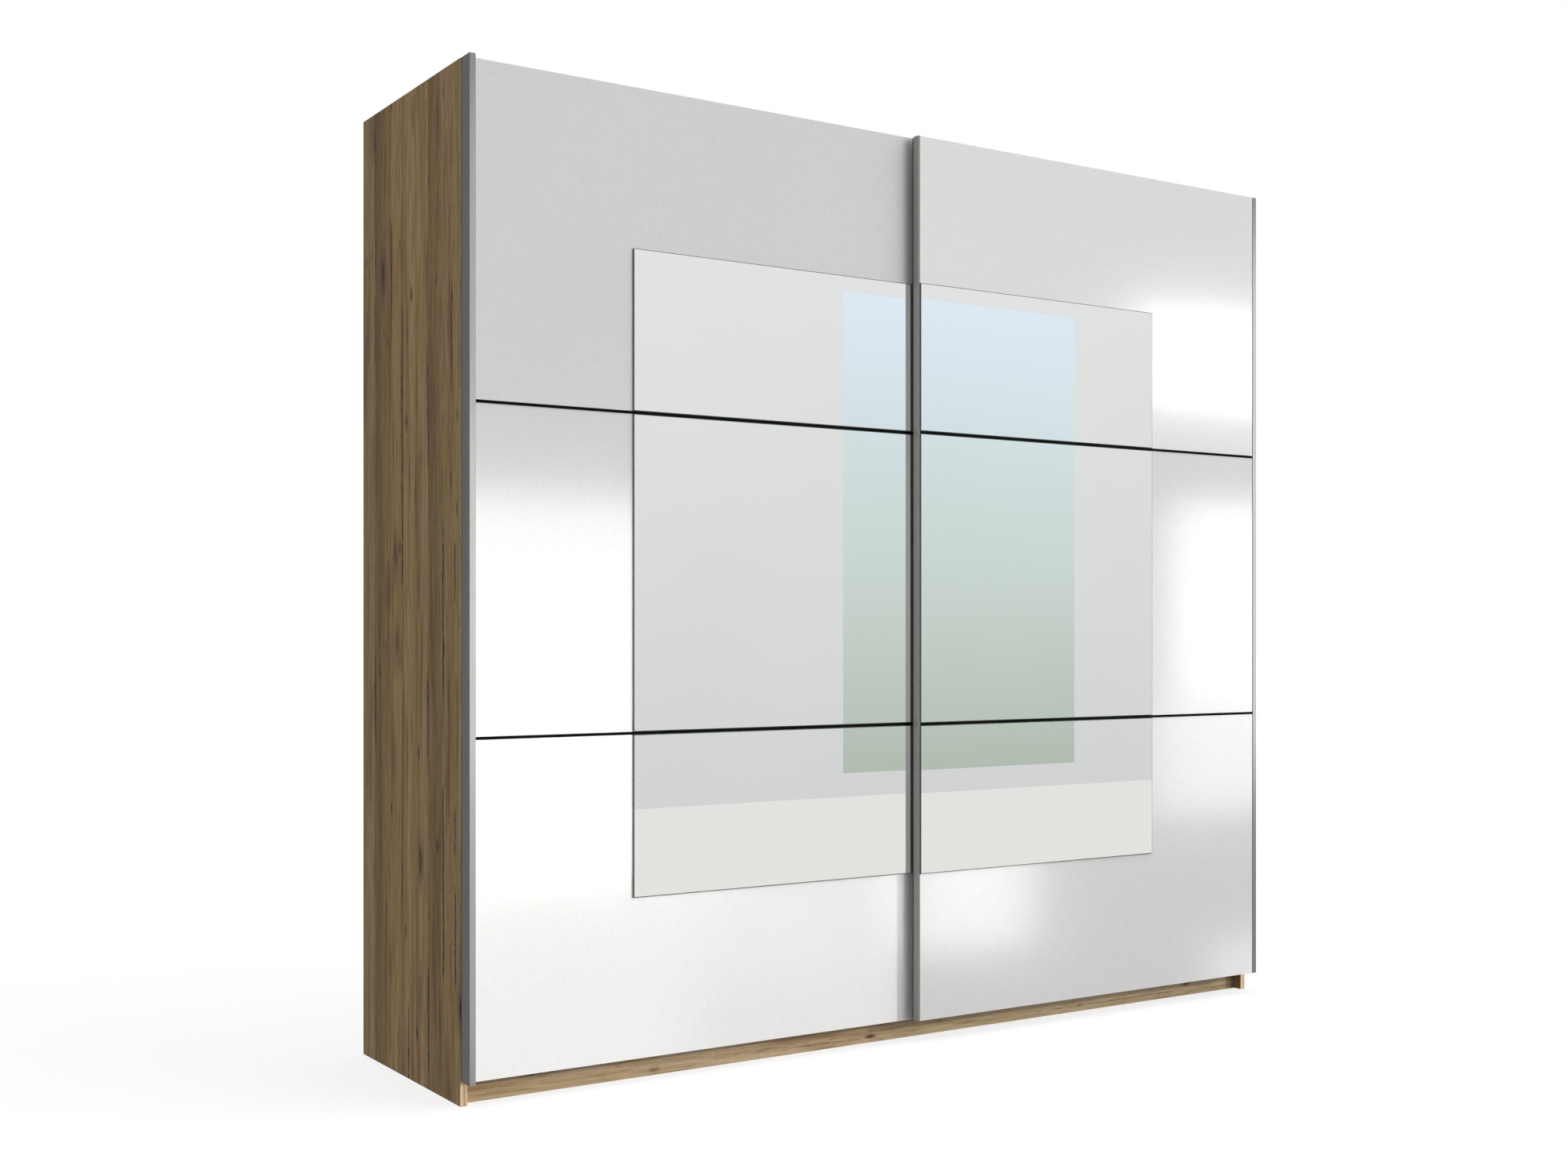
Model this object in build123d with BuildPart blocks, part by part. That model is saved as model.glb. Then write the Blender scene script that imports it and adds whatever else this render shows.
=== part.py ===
from build123d import *
import os

os.makedirs("parts", exist_ok=True)

# Sliding door wardrobe, millimetres.
# X runs across the front, +Y goes towards the back, Z is height above the floor.

# Carcass
overall_width = 2345
side_height = 2200
side_depth = 577
board = 16
back_sheet = 3
nail_head_height = 0.8
inner_set_back = 24          # inner boards start this far behind the side panels' front edges
top_set_back = 6             # the top panel comes further forward, to carry the running track
top_panel_top = 2150
bottom_panel_bottom = 60
fixed_shelf_bottom = 1800
loose_shelf_bottoms = (420, 765, 1110, 1455)
loose_shelf_set_back = 34
loose_shelf_side_gap = 1
loose_shelf_back_gap = 3
rear_plinth_set_back = 540
back_sheet_margin = 2
back_sheet_joint_gap = 1

# Closing strips on the front edges of the side panels
strip_inset = 1.7
strip_reach = 44
strip_wall = 1.5
strip_return = 8
strip_corner = 1

# Doors: three stacked boards each, joined by slim strips
door_width = 1160
door_bottom = 52
door_side_gap = 1.5
door_board = 16
profile_lip = 1.4            # thickness of a profile's lip over the face of a board
inner_door_reach = 17.5      # front of the left door's profiles, ahead of the side panels
outer_door_reach = 45.3      # front of the right door's profiles, ahead of the side panels
meeting_lip_width = 5.7
profile_web = 1.2
joint_strip_height = 6.3
lower_joint_height = 772.5
upper_joint_height = 1480.8
back_bar_width = 20
back_bar_inset = 2

# Mirrors glued on the doors
mirror_thickness = 4
mirror_margin = 383.5        # from the door's outer edge
mirror_bottom_height = 409.2
mirror_top_height = 1843
mirror_gap = 0.3

# Running gear
hanger_from_edge = 80
hanger_width = 60
hanger_plate = 2
hanger_bottom = 2130
inner_hanger_top = 2198
arm_clearance = 1.5          # between the left door's top edge and the right door's arms
wheel_width = 8
wheel_radius = 14.5
groove_radius = 12
groove_width = 3.6
rib_width = 3
rib_height = 10
rib_round = 1.2
wheel_lift = 0.3
track_plate = 2
track_depth = 36
front_rib_back = 12          # centre of each rib, behind the side panels' front edges
rear_rib_back = 28
axle_radius = 3
axle_fit = 0.05
axle_head_radius = 5
axle_head_length = 1.5
axle_side_play = 0.3
rear_arm_back = 36
stop_length = 25
stop_width = 9
stop_height = 28
stop_gap = 0.5
end_play = 1                 # gap at each end of a rail that runs from side to side

# Bottom guide
rail_wall = 1.5
rail_bottom = 53
rail_deck = 62
rail_lip_top = 72
rail_front_back = 5          # front of the rail, behind the side panels' front edges
upper_channel_back = 13
lower_channel_back = 11
guide_from_edge = 100
guide_width = 40
guide_plate = 2
guide_arm = 2.5
guide_play = 1
inner_guide_top = 110
outer_guide_top = 92
outer_guide_bottom = 48

# Fasteners
cam_radius = 7.4
cam_depth = 12.5
cam_from_end = 34
cam_hole_play = 0.1
cam_recess = 1.5
bolt_radius = 2.9
bolt_head_radius = 3.4
bolt_head_length = 4
bolt_bore_radius = 4
bolt_play = 0.1
side_insert = 7              # how deep bolts, dowels and pins go into an upright board
dowel_radius = 3.9
dowel_in_panel = 23
hole_play = 0.2
pin_radius = 2.45
pin_stub_radius = 3.4
pin_stub_length = 8
screw_radius = 1.7
screw_length = 14
screw_head_radius = 3.4
screw_head_height = 2
screw_slot = 0.8
long_screw_head_radius = 4.8
long_screw_head_height = 2.6
long_screw_shank_radius = 3.4
long_screw_shank = 16
long_screw_thread_radius = 2.6
long_screw_length = 50
nail_radius = 0.7
nail_length = 18
nail_head_radius = 2.5
nail_rows = 9                # down each upright board, corners included
nail_columns = 6             # across each sheet, top and bottom

# Clothes rail
rail_tube_radius = 12.5
rail_tube_wall = 1.2
rail_height = 1740
rail_back = 300
holder_radius = 24
holder_plate = 2.5
holder_cup_wall = 2
holder_cup_length = 14
holder_screw_spread = 18

# Positions that follow from the sizes above
half_width = overall_width / 2
inner_half = half_width - board
half_board = board / 2
outer_board_reach = outer_door_reach - profile_lip
mirror_reach = outer_board_reach + mirror_thickness
total_depth = side_depth + back_sheet + nail_head_height + mirror_reach
front_edge_y = mirror_reach - total_depth / 2
back_edge_y = front_edge_y + side_depth
sheet_back_y = back_edge_y + back_sheet
inner_front_y = front_edge_y + inner_set_back
top_front_y = front_edge_y + top_set_back
top_panel_bottom = top_panel_top - board
bottom_panel_top = bottom_panel_bottom + board
fixed_shelf_top = fixed_shelf_bottom + board
door_outer_edge = inner_half - door_side_gap
track_top = top_panel_top + track_plate
rib_top = track_top + rib_height
axle_height = rib_top + wheel_lift + groove_radius
arm_bottom = side_height + arm_clearance
arm_top = arm_bottom + hanger_plate
front_rib_y = front_edge_y + front_rib_back
rear_rib_y = front_edge_y + rear_rib_back

cam_rows = (front_edge_y + 90, front_edge_y + 490)
dowel_rows = (front_edge_y + 140, front_edge_y + 440)
pin_rows = (front_edge_y + 80, front_edge_y + 500)
strip_screw_heights = (120, 500, 900, 1300, 1700, 2100)
long_rail_screw_xs = (-1050, -750, -450, -150, 150, 450, 750, 1050)
plinth_screw_xs = (-900, -300, 300, 900)
partition_screw_ys = (front_edge_y + 110, front_edge_y + 300, front_edge_y + 520)
plinth_screw_y = inner_front_y + half_board
rear_plinth_y = front_edge_y + rear_plinth_set_back
rear_plinth_screw_y = rear_plinth_y + half_board
rail_y = front_edge_y + rail_back

low_centred = (Align.CENTER, Align.CENTER, Align.MIN)


def add_box(xs, ys, zs, mode=Mode.ADD):
    # A block between two corners, given as pairs of X, Y and Z
    centre = (sum(xs) / 2, sum(ys) / 2, sum(zs) / 2)
    with Locations(centre):
        Box(abs(xs[1] - xs[0]), abs(ys[1] - ys[0]), abs(zs[1] - zs[0]), mode=mode)


def add_rods(points, direction, radius, length, mode=Mode.ADD):
    # Round rods or holes that start at the points and run along the direction
    starts = [Plane(origin=point, z_dir=direction) for point in points]
    with Locations(*starts):
        Cylinder(radius, length, align=low_centred, mode=mode)


def shifted(points, direction, distance):
    return [tuple(p + d * distance for p, d in zip(point, direction)) for point in points]


def add_screws(points, direction):
    # Pan head screws; each point is under the head, the direction is the way the screw goes in
    backwards = tuple(-d for d in direction)
    add_rods(points, direction, screw_radius, screw_length)
    add_rods(points, backwards, screw_head_radius, screw_head_height)
    slots = [
        Plane(origin=point, z_dir=backwards)
        for point in shifted(points, backwards, screw_head_height - screw_slot)
    ]
    with Locations(*slots):
        Box(screw_head_radius, screw_slot, screw_slot, align=low_centred, mode=Mode.SUBTRACT)
        Box(screw_slot, screw_head_radius, screw_slot, align=low_centred, mode=Mode.SUBTRACT)


def save(piece, node):
    piece.part.label = node
    export_step(piece.part, "parts/" + node + ".step")


# Joints between level panels and upright boards.
# Each entry is the face of the upright, the way into the level panel, and the panel's mid height.
top_mid = top_panel_top - half_board
bottom_mid = bottom_panel_bottom + half_board
fixed_mid = fixed_shelf_bottom + half_board
top_ends = [(-inner_half, 1, top_mid), (inner_half, -1, top_mid)]
bottom_ends = [(-inner_half, 1, bottom_mid), (inner_half, -1, bottom_mid)]
hat_shelf_ends = [(-inner_half, 1, fixed_mid), (-half_board, -1, fixed_mid)]
right_shelf_ends = [(half_board, 1, fixed_mid), (inner_half, -1, fixed_mid)]
all_ends = top_ends + bottom_ends + hat_shelf_ends + right_shelf_ends


def drill_upright(ends, face_x):
    # Blind holes for bolts and dowels in the upright board whose face is at face_x
    for end_x, way, mid_height in ends:
        if end_x == face_x:
            into_upright = (-way, 0, 0)
            bolt_points = [(end_x, y, mid_height) for y in cam_rows]
            dowel_points = [(end_x, y, mid_height) for y in dowel_rows]
            hole_depth = side_insert + hole_play
            add_rods(bolt_points, into_upright, bolt_radius + bolt_play, hole_depth, Mode.SUBTRACT)
            add_rods(dowel_points, into_upright, dowel_radius + bolt_play, hole_depth, Mode.SUBTRACT)


def drill_level_panel(ends, cam_face, cam_way):
    # Holes for bolts, dowels and cams in the ends of a level panel
    for end_x, way, mid_height in ends:
        into_panel = (way, 0, 0)
        bolt_points = [(end_x, y, mid_height) for y in cam_rows]
        dowel_points = [(end_x, y, mid_height) for y in dowel_rows]
        cam_points = [(end_x + way * cam_from_end, y, cam_face) for y in cam_rows]
        dowel_depth = dowel_in_panel + hole_play
        add_rods(bolt_points, into_panel, bolt_bore_radius, cam_from_end, Mode.SUBTRACT)
        add_rods(dowel_points, into_panel, dowel_radius + bolt_play, dowel_depth, Mode.SUBTRACT)
        cam_hole_depth = cam_depth + hole_play
        add_rods(cam_points, (0, 0, cam_way), cam_radius + cam_hole_play, cam_hole_depth, Mode.SUBTRACT)


def drill_pin_holes(face_x, way):
    for shelf_bottom in loose_shelf_bottoms:
        points = [(face_x, y, shelf_bottom - pin_stub_radius) for y in pin_rows]
        pin_hole_depth = side_insert + hole_play
        add_rods(points, (way, 0, 0), pin_radius + bolt_play, pin_hole_depth, Mode.SUBTRACT)


# Nails through the back sheets, grouped by the board they go into
sheet_zs = (bottom_panel_bottom + back_sheet_margin, top_panel_top - back_sheet_margin)
nail_rise = (top_panel_top - bottom_panel_bottom - board) / (nail_rows - 1)
nail_heights = [bottom_panel_bottom + half_board + row * nail_rise for row in range(1, nail_rows - 1)]
nail_step = (half_width - half_board) / nail_columns
nail_offsets = [nail_step * (column + 0.5) for column in range(nail_columns)]
nail_xs = [sign * offset for sign in (-1, 1) for offset in nail_offsets]
left_nails = [(half_board - half_width, sheet_back_y, height) for height in nail_heights]
right_nails = [(half_width - half_board, sheet_back_y, height) for height in nail_heights]
partition_nail_xs = (-half_board / 2, half_board / 2)
partition_nails = [(x, sheet_back_y, height) for x in partition_nail_xs for height in nail_heights]
top_nails = [(x, sheet_back_y, top_panel_top - half_board) for x in nail_xs]
bottom_nails = [(x, sheet_back_y, bottom_panel_bottom + half_board) for x in nail_xs]
nail_points = left_nails + right_nails + partition_nails + top_nails + bottom_nails


def drill_nails(points):
    add_rods(points, (0, -1, 0), nail_radius + bolt_play, back_sheet + nail_length + hole_play, Mode.SUBTRACT)


# Side panels stand on the floor and rise past the top panel
strip_screw_x = half_width - (strip_inset + board) / 2
strip_screw_points = [(strip_screw_x, front_edge_y, z) for z in strip_screw_heights]
rail_ends = [(-inner_half, 1), (-half_board, -1)]


def holder_screw_points(face_x, way):
    plate_face = face_x + way * holder_plate
    spreads = (-holder_screw_spread, holder_screw_spread)
    return [(plate_face, rail_y, rail_height + spread) for spread in spreads]


holder_hole_depth = screw_length - holder_plate + hole_play
for side, sign in (("left", -1), ("right", 1)):
    with BuildPart() as side_panel:
        add_box((sign * inner_half, sign * half_width), (front_edge_y, back_edge_y), (0, side_height))
        drill_upright(all_ends, sign * inner_half)
        front_points = [(sign * x, y, z) for x, y, z in strip_screw_points]
        screw_hole_depth = screw_length - strip_wall + hole_play
        add_rods(front_points, (0, 1, 0), screw_radius + bolt_play, screw_hole_depth, Mode.SUBTRACT)
        drill_nails(left_nails if side == "left" else right_nails)
        if side == "right":
            drill_pin_holes(inner_half, 1)
        else:
            points = shifted(holder_screw_points(-inner_half, 1), (-1, 0, 0), holder_plate)
            add_rods(points, (-1, 0, 0), screw_radius + bolt_play, holder_hole_depth, Mode.SUBTRACT)
    save(side_panel, side + "_side_panel")

# Top panel, carrying the running track
track_screw_y = (front_rib_y + rear_rib_y) / 2
track_screw_points = [(x, track_screw_y, track_top) for x in long_rail_screw_xs]
with BuildPart() as top_panel:
    add_box((-inner_half, inner_half), (top_front_y, back_edge_y), (top_panel_bottom, top_panel_top))
    drill_level_panel(top_ends, top_panel_top, -1)
    drill_nails(top_nails)
    track_hole_depth = screw_length + hole_play
    add_rods(track_screw_points, (0, 0, -1), screw_radius + bolt_play, track_hole_depth, Mode.SUBTRACT)
    partition_tops = [(0, y, top_panel_top) for y in partition_screw_ys]
    add_rods(partition_tops, (0, 0, -1), long_screw_shank_radius + bolt_play, board, Mode.SUBTRACT)
    counterbore = long_screw_head_height + hole_play
    add_rods(partition_tops, (0, 0, -1), long_screw_head_radius + bolt_play, counterbore, Mode.SUBTRACT)
save(top_panel, "top_panel")

# Bottom panel, on the plinth
guide_screw_height = bottom_mid
guide_screw_points = [(x, inner_front_y - rail_wall, guide_screw_height) for x in long_rail_screw_xs]
plinth_screw_points = [(x, plinth_screw_y, bottom_panel_top) for x in plinth_screw_xs]
rear_plinth_screw_points = [(x, rear_plinth_screw_y, bottom_panel_top) for x in plinth_screw_xs]
with BuildPart() as bottom_panel:
    add_box((-inner_half, inner_half), (inner_front_y, back_edge_y), (bottom_panel_bottom, bottom_panel_top))
    drill_level_panel(bottom_ends, bottom_panel_bottom, 1)
    drill_nails(bottom_nails)
    add_rods(guide_screw_points, (0, 1, 0), screw_radius + bolt_play, screw_length + hole_play, Mode.SUBTRACT)
    down_points = plinth_screw_points + rear_plinth_screw_points
    add_rods(down_points, (0, 0, -1), long_screw_shank_radius + bolt_play, board, Mode.SUBTRACT)
    add_rods(down_points, (0, 0, -1), long_screw_head_radius + bolt_play, counterbore, Mode.SUBTRACT)
    up_points = [(0, y, bottom_panel_bottom) for y in partition_screw_ys]
    add_rods(up_points, (0, 0, 1), long_screw_shank_radius + bolt_play, board, Mode.SUBTRACT)
    add_rods(up_points, (0, 0, 1), long_screw_head_radius + bolt_play, counterbore, Mode.SUBTRACT)
save(bottom_panel, "bottom_panel")

# Centre partition between the two compartments
pilot_depth = long_screw_length - board + hole_play
with BuildPart() as centre_partition:
    add_box((-half_board, half_board), (inner_front_y, back_edge_y), (bottom_panel_top, top_panel_bottom))
    drill_upright(all_ends, -half_board)
    drill_upright(all_ends, half_board)
    drill_pin_holes(half_board, -1)
    drill_nails(partition_nails)
    top_pilots = [(0, y, top_panel_bottom) for y in partition_screw_ys]
    bottom_pilots = [(0, y, bottom_panel_top) for y in partition_screw_ys]
    add_rods(top_pilots, (0, 0, -1), long_screw_thread_radius + bolt_play, pilot_depth, Mode.SUBTRACT)
    add_rods(bottom_pilots, (0, 0, 1), long_screw_thread_radius + bolt_play, pilot_depth, Mode.SUBTRACT)
    points = shifted(holder_screw_points(-half_board, -1), (1, 0, 0), holder_plate)
    add_rods(points, (1, 0, 0), screw_radius + bolt_play, holder_hole_depth, Mode.SUBTRACT)
save(centre_partition, "centre_partition")

# Plinth under the bottom panel
with BuildPart() as plinth_board:
    add_box((-inner_half, inner_half), (inner_front_y, inner_front_y + board), (0, bottom_panel_bottom))
    pilots = [(x, plinth_screw_y, bottom_panel_bottom) for x in plinth_screw_xs]
    add_rods(pilots, (0, 0, -1), long_screw_thread_radius + bolt_play, pilot_depth, Mode.SUBTRACT)
save(plinth_board, "plinth_board")

with BuildPart() as rear_plinth_rail:
    add_box((-inner_half, inner_half), (rear_plinth_y, rear_plinth_y + board), (0, bottom_panel_bottom))
    pilots = [(x, rear_plinth_screw_y, bottom_panel_bottom) for x in plinth_screw_xs]
    add_rods(pilots, (0, 0, -1), long_screw_thread_radius + bolt_play, pilot_depth, Mode.SUBTRACT)
save(rear_plinth_rail, "rear_plinth_rail")

# Fixed shelves at one height in both compartments
for node, ends in (("hat_shelf", hat_shelf_ends), ("right_fixed_shelf", right_shelf_ends)):
    with BuildPart() as fixed_shelf:
        shelf_xs = (ends[0][0], ends[1][0])
        add_box(shelf_xs, (inner_front_y, back_edge_y), (fixed_shelf_bottom, fixed_shelf_top))
        drill_level_panel(ends, fixed_shelf_bottom, 1)
    save(fixed_shelf, node)

# Loose shelves in the right compartment, each on four pins
loose_xs = (half_board + loose_shelf_side_gap, inner_half - loose_shelf_side_gap)
loose_ys = (front_edge_y + loose_shelf_set_back, back_edge_y - loose_shelf_back_gap)
for number, shelf_bottom in enumerate(loose_shelf_bottoms, start=1):
    with BuildPart() as loose_shelf:
        with BuildSketch(Plane.XY.offset(shelf_bottom)):
            with Locations((sum(loose_xs) / 2, sum(loose_ys) / 2)):
                Rectangle(loose_xs[1] - loose_xs[0], loose_ys[1] - loose_ys[0])
        extrude(amount=board)
    save(loose_shelf, "loose_shelf_" + str(number))

with BuildPart() as shelf_pins:
    for shelf_bottom in loose_shelf_bottoms:
        pin_height = shelf_bottom - pin_stub_radius
        partition_points = [(half_board, y, pin_height) for y in pin_rows]
        side_points = [(inner_half, y, pin_height) for y in pin_rows]
        add_rods(partition_points, (-1, 0, 0), pin_radius, side_insert)
        add_rods(partition_points, (1, 0, 0), pin_stub_radius, pin_stub_length)
        add_rods(side_points, (1, 0, 0), pin_radius, side_insert)
        add_rods(side_points, (-1, 0, 0), pin_stub_radius, pin_stub_length)
save(shelf_pins, "shelf_pins")

# Back sheets, nailed on the rear edges and meeting on the partition
for side, sign in (("left", -1), ("right", 1)):
    with BuildPart() as back_sheet_piece:
        sheet_xs = (sign * back_sheet_joint_gap / 2, sign * (half_width - back_sheet_margin))
        add_box(sheet_xs, (back_edge_y, sheet_back_y), sheet_zs)
        own_nails = [point for point in nail_points if point[0] * sign > 0]
        add_rods(own_nails, (0, -1, 0), nail_radius + bolt_play, back_sheet, Mode.SUBTRACT)
    save(back_sheet_piece, side + "_back_sheet")

# Nails with flat heads; their points are driven into the boards
with BuildPart() as back_nails:
    add_rods(nail_points, (0, -1, 0), nail_radius, back_sheet + nail_length)
    add_rods(nail_points, (0, 1, 0), nail_head_radius, nail_head_height)
save(back_nails, "back_nails")

# Clothes rail under the hat shelf
with BuildPart() as clothes_rail:
    rail_start = -inner_half + holder_plate
    with BuildSketch(Plane.YZ.offset(rail_start)):
        with Locations((rail_y, rail_height)):
            Circle(rail_tube_radius)
            Circle(rail_tube_radius - rail_tube_wall, mode=Mode.SUBTRACT)
    extrude(amount=inner_half - half_board - 2 * holder_plate)
save(clothes_rail, "clothes_rail")

with BuildPart() as clothes_rail_holders:
    for face_x, way in rail_ends:
        add_rods([(face_x, rail_y, rail_height)], (way, 0, 0), holder_radius, holder_plate)
        plate_face = (face_x + way * holder_plate, rail_y, rail_height)
        cup_radius = rail_tube_radius + bolt_play + holder_cup_wall
        add_rods([plate_face], (way, 0, 0), cup_radius, holder_cup_length)
        add_rods([plate_face], (way, 0, 0), rail_tube_radius + bolt_play, holder_cup_length, Mode.SUBTRACT)
        screw_points = holder_screw_points(face_x, way)
        add_rods(screw_points, (-way, 0, 0), screw_radius + bolt_play, holder_plate, Mode.SUBTRACT)
        add_rods(screw_points, (way, 0, 0), screw_head_radius + bolt_play, screw_head_height, Mode.SUBTRACT)
save(clothes_rail_holders, "clothes_rail_holders")

# Closing strips: open sections whose hollow faces the doors
strip_zs = (door_bottom, side_height)
for side, sign in (("left", -1), ("right", 1)):
    outer_x = sign * (half_width - strip_inset)
    inner_x = sign * inner_half
    strip_front_y = front_edge_y - strip_reach
    with BuildPart() as closing_strip:
        with BuildSketch(Plane.XY.offset(door_bottom)) as strip_section:
            with Locations(((outer_x + inner_x) / 2, (strip_front_y + front_edge_y) / 2)):
                strip_width = board - strip_inset
                RectangleRounded(strip_width, strip_reach, strip_corner)
                hollow_width = strip_width - 2 * strip_wall
                Rectangle(hollow_width, strip_reach - 2 * strip_wall, mode=Mode.SUBTRACT)
            with Locations((inner_x - sign * strip_wall / 2, (strip_front_y + front_edge_y) / 2)):
                Rectangle(4 * strip_wall, strip_reach - 2 * strip_return, mode=Mode.SUBTRACT)
        extrude(amount=side_height - door_bottom)
        screw_points = [(sign * x, y, z) for x, y, z in strip_screw_points]
        add_rods(screw_points, (0, -1, 0), screw_radius + bolt_play, strip_wall, Mode.SUBTRACT)
    save(closing_strip, side + "_closing_strip")

# Running track: one plate with a rib for each door
track_xs = (-inner_half + end_play, inner_half - end_play)
with BuildPart() as running_track:
    with BuildSketch(Plane.YZ.offset(track_xs[0])):
        with Locations((top_front_y + track_depth / 2, top_panel_top + track_plate / 2)):
            Rectangle(track_depth, track_plate)
        with Locations((front_rib_y, track_top + rib_height / 2), (rear_rib_y, track_top + rib_height / 2)):
            Rectangle(rib_width, rib_height)
    extrude(amount=track_xs[1] - track_xs[0])
    rib_edges = running_track.edges().filter_by(Axis.X).group_by(Axis.Z)[-1]
    fillet(rib_edges, rib_round)
    add_rods(track_screw_points, (0, 0, -1), screw_radius + bolt_play, track_plate, Mode.SUBTRACT)
save(running_track, "running_track")

# Soft stops over the ends of both ribs
wheel_stop_x = door_outer_edge - hanger_from_edge + wheel_radius + stop_gap
with BuildPart() as track_end_stops:
    for sign in (-1, 1):
        for rib_y in (front_rib_y, rear_rib_y):
            stop_xs = (sign * wheel_stop_x, sign * (wheel_stop_x + stop_length))
            stop_ys = (rib_y - stop_width / 2, rib_y + stop_width / 2)
            add_box(stop_xs, stop_ys, (track_top, track_top + stop_height))
            slot_width = rib_width / 2 + bolt_play
            slot_zs = (track_top, rib_top + bolt_play)
            add_box(stop_xs, (rib_y - slot_width, rib_y + slot_width), slot_zs, Mode.SUBTRACT)
save(track_end_stops, "track_end_stops")

# Bottom guide rail: an upper channel for the left door and a lower channel for the right door
rail_front_y = front_edge_y + rail_front_back
rail_web_y = inner_front_y - rail_wall
upper_rib_y = front_edge_y + upper_channel_back
lower_rib_y = front_edge_y + lower_channel_back
deck_top = rail_deck + rail_wall
with BuildPart() as bottom_guide_rail:
    add_box(track_xs, (rail_web_y, inner_front_y), (rail_bottom, bottom_panel_top))
    add_box(track_xs, (rail_front_y, rail_web_y), (rail_deck, deck_top))
    add_box(track_xs, (rail_front_y, rail_front_y + rail_wall), (deck_top, rail_lip_top))
    add_box(track_xs, (upper_rib_y, upper_rib_y + rail_wall), (deck_top, rail_lip_top))
    add_box(track_xs, (lower_rib_y, lower_rib_y + rail_wall), (rail_bottom, rail_deck))
    add_rods(guide_screw_points, (0, 1, 0), screw_radius + bolt_play, rail_wall, Mode.SUBTRACT)
save(bottom_guide_rail, "bottom_guide_rail")

# Cams, bolts and dowels of the carcass joints
with BuildPart() as cam_locks:
    for end_x, way, mid_height in all_ends:
        cam_x = end_x + way * cam_from_end
        from_top = mid_height == top_mid
        face_height = mid_height + half_board if from_top else mid_height - half_board
        cam_way = -1 if from_top else 1
        cam_points = [(cam_x, y, face_height) for y in cam_rows]
        add_rods(cam_points, (0, 0, cam_way), cam_radius, cam_depth)
        bore_points = [(cam_x - way * 2 * cam_radius, y, mid_height) for y in cam_rows]
        bore_length = 2 * cam_radius + bolt_head_length
        add_rods(bore_points, (way, 0, 0), bolt_bore_radius, bore_length, Mode.SUBTRACT)
        for y in cam_rows:
            recess_zs = (face_height, face_height + cam_way * cam_recess)
            long_xs = (cam_x - cam_radius / 2, cam_x + cam_radius / 2)
            long_ys = (y - cam_radius / 2, y + cam_radius / 2)
            add_box(long_xs, (y - screw_slot, y + screw_slot), recess_zs, Mode.SUBTRACT)
            add_box((cam_x - screw_slot, cam_x + screw_slot), long_ys, recess_zs, Mode.SUBTRACT)
save(cam_locks, "cam_locks")

with BuildPart() as cam_bolts:
    for end_x, way, mid_height in all_ends:
        bolt_starts = [(end_x - way * side_insert, y, mid_height) for y in cam_rows]
        head_starts = [(end_x + way * cam_from_end, y, mid_height) for y in cam_rows]
        head_length = bolt_head_length - hole_play
        add_rods(bolt_starts, (way, 0, 0), bolt_radius, side_insert + cam_from_end)
        add_rods(head_starts, (way, 0, 0), bolt_head_radius, head_length)
save(cam_bolts, "cam_bolts")

with BuildPart() as dowels:
    for end_x, way, mid_height in all_ends:
        dowel_starts = [(end_x - way * side_insert, y, mid_height) for y in dowel_rows]
        add_rods(dowel_starts, (way, 0, 0), dowel_radius, side_insert + dowel_in_panel)
save(dowels, "dowels")

# Long screws through the top and bottom panels into the partition and plinth
with BuildPart() as long_screws:
    for points, way in ((partition_tops, -1), (down_points, -1), (up_points, 1)):
        direction = (0, 0, way)
        add_rods(points, direction, long_screw_head_radius, long_screw_head_height)
        add_rods(points, direction, long_screw_shank_radius, long_screw_shank)
        add_rods(points, direction, long_screw_thread_radius, long_screw_length)
        sockets = [Plane(origin=point, z_dir=direction) for point in points]
        with BuildSketch(*sockets):
            RegularPolygon(radius=long_screw_head_radius / 2, side_count=6)
        extrude(amount=long_screw_head_height - screw_slot, mode=Mode.SUBTRACT)
save(long_screws, "long_screws")

# Small pan head screws for the track, guide rail, closing strips and rail holders
with BuildPart() as carcass_screws:
    add_screws(track_screw_points, (0, 0, -1))
    add_screws(guide_screw_points, (0, 1, 0))
    for sign in (-1, 1):
        strip_points = [(sign * x, y - strip_wall, z) for x, y, z in strip_screw_points]
        add_screws(strip_points, (0, 1, 0))
    for face_x, way in rail_ends:
        add_screws(holder_screw_points(face_x, way), (-way, 0, 0))
save(carcass_screws, "carcass_screws")


def hanger_section(board_back_y, is_outer):
    # Side outline of a hanger, as closed corners in Y and Z
    plate_back_y = board_back_y + hanger_plate
    if not is_outer:
        return [
            (board_back_y, hanger_bottom),
            (plate_back_y, hanger_bottom),
            (plate_back_y, inner_hanger_top),
            (board_back_y, inner_hanger_top),
        ]
    arm_back_y = front_edge_y + rear_arm_back
    leg_bottom = axle_height - 2 * axle_head_radius
    return [
        (board_back_y, hanger_bottom),
        (plate_back_y, hanger_bottom),
        (plate_back_y, arm_bottom),
        (arm_back_y, arm_bottom),
        (arm_back_y, leg_bottom),
        (arm_back_y + hanger_plate, leg_bottom),
        (arm_back_y + hanger_plate, arm_top),
        (board_back_y, arm_top),
    ]


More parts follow.
